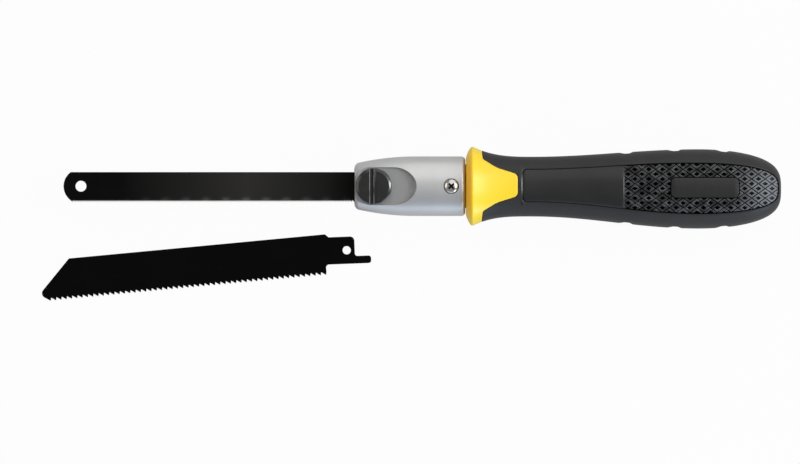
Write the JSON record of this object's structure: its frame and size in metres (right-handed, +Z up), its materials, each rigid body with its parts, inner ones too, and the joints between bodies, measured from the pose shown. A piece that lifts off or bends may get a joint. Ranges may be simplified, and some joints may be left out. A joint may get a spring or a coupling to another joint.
{
  "type": "multi-blade saw",
  "caption": "Hand saw with a soft-grip handle and a cast clamp whose coin-slot screw holds interchangeable blades; a fine-tooth blade is fitted and a coarse spare lies beside it.",
  "frame": {"origin": "centre of the flat plaque under the grip that the saw rests on, in the plane of the table", "axes": "+X from the blade's tip towards the handle's butt, +Y away from the teeth, +Z up from the table towards the clamp screw's knob"},
  "size_m": [0.3403, 0.071, 0.032],
  "materials": {
    "satin_alloy": "satin die casting, fine blasted grain",
    "plated_steel": "bright zinc plate",
    "dark_knob": "dark grey semi-gloss coating",
    "bright_screw": "bright nickel plate",
    "yellow_plastic": "semi-gloss moulded plastic",
    "dark_rubber": "matt soft-touch moulding",
    "dark_panel": "smooth front, diamond texture behind",
    "black_blade": "black baked coating, worn at the teeth",
    "black_spare": "black baked coating"
  },
  "bodies": {
    "saw": {"clamp_body": "satin_alloy", "thread_bush": "plated_steel", "body_screw": "bright_screw", "handle_core": "yellow_plastic", "grip_sleeve": "dark_rubber", "inlay_upper": "dark_panel", "inlay_lower": "dark_panel"},
    "shoe": {"pressure_plate": "plated_steel"},
    "screw": {"clamp_screw": "dark_knob", "retaining_clip": "plated_steel"},
    "blade": {"hacksaw_blade": "black_blade"},
    "spare": {"spare_blade": "black_spare"}
  },
  "joints": [
    {"name": "shoe_lift", "type": "slide", "parent": "saw", "child": "shoe", "axis": [0, 0, 1], "range_m": [0, 0.0015]},
    {"name": "screw_turn", "type": "hinge", "parent": "shoe", "child": "screw", "pos_m": [-0.1521, 0.0007, 0.016], "axis": [0, 0, 1], "range_deg": [0, 540]},
    {"name": "blade_slide", "type": "slide", "parent": "saw", "child": "blade", "axis": [-1, 0, 0], "range_m": [-0.004, 0.022]},
    {"name": "spare_lift", "type": "slide", "parent": "saw", "child": "spare", "axis": [0, 0, 1], "range_m": [0, 0.05]}
  ],
  "couplings": [
    {"joint": "shoe_lift", "follows": "screw_turn", "m_per_rad": 0.00015915}
  ]
}
